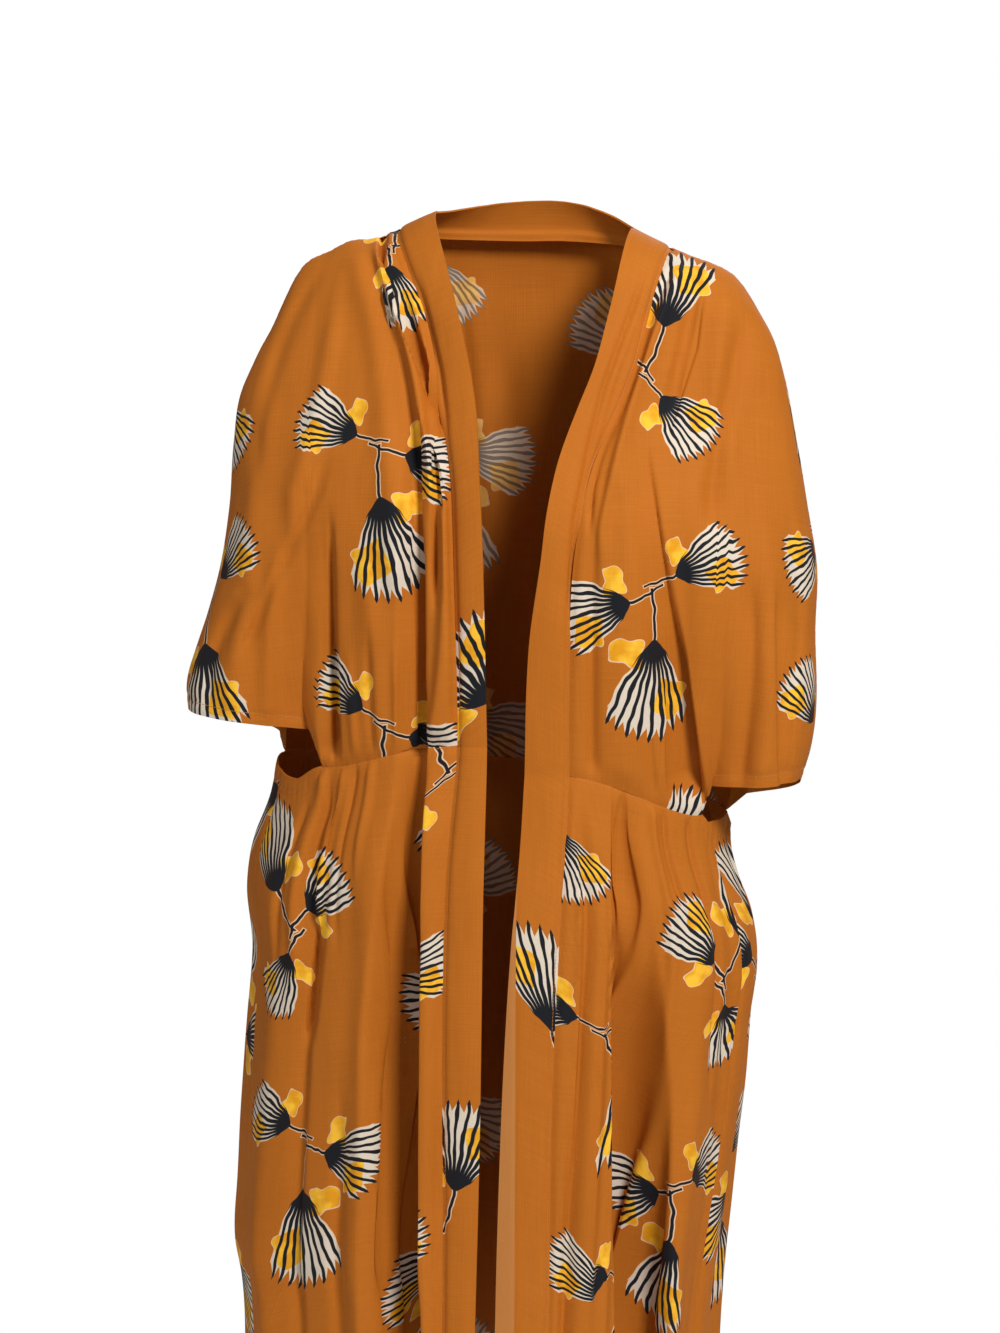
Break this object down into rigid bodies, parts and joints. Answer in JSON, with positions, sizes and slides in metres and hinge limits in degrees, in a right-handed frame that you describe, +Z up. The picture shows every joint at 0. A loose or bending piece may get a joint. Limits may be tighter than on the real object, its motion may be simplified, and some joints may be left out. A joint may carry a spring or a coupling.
{
  "type": "kimono coat",
  "caption": "Long open-front kimono coat with batwing half sleeves, a waist seam and plain front bands, worn open and hollow.",
  "frame": {"origin": "midway between the two neck points of the shoulders, where the wearer's shoulders carry the coat", "axes": "+X towards the viewer's right, the front faces -Y, +Z up"},
  "size_m": [0.5491, 0.3035, 1.2302],
  "materials": {
    "printed_cloth": "matte",
    "band_cloth": "matte"
  },
  "bodies": {
    "root": {"bodice_front_left": "printed_cloth", "bodice_front_right": "printed_cloth", "bodice_back": "printed_cloth", "skirt_front_left": "printed_cloth", "skirt_front_right": "printed_cloth", "skirt_back": "printed_cloth", "band_left_upper": "band_cloth", "band_left_lower": "band_cloth", "band_right": "band_cloth", "band_back_neck": "band_cloth"}
  },
  "joints": []
}
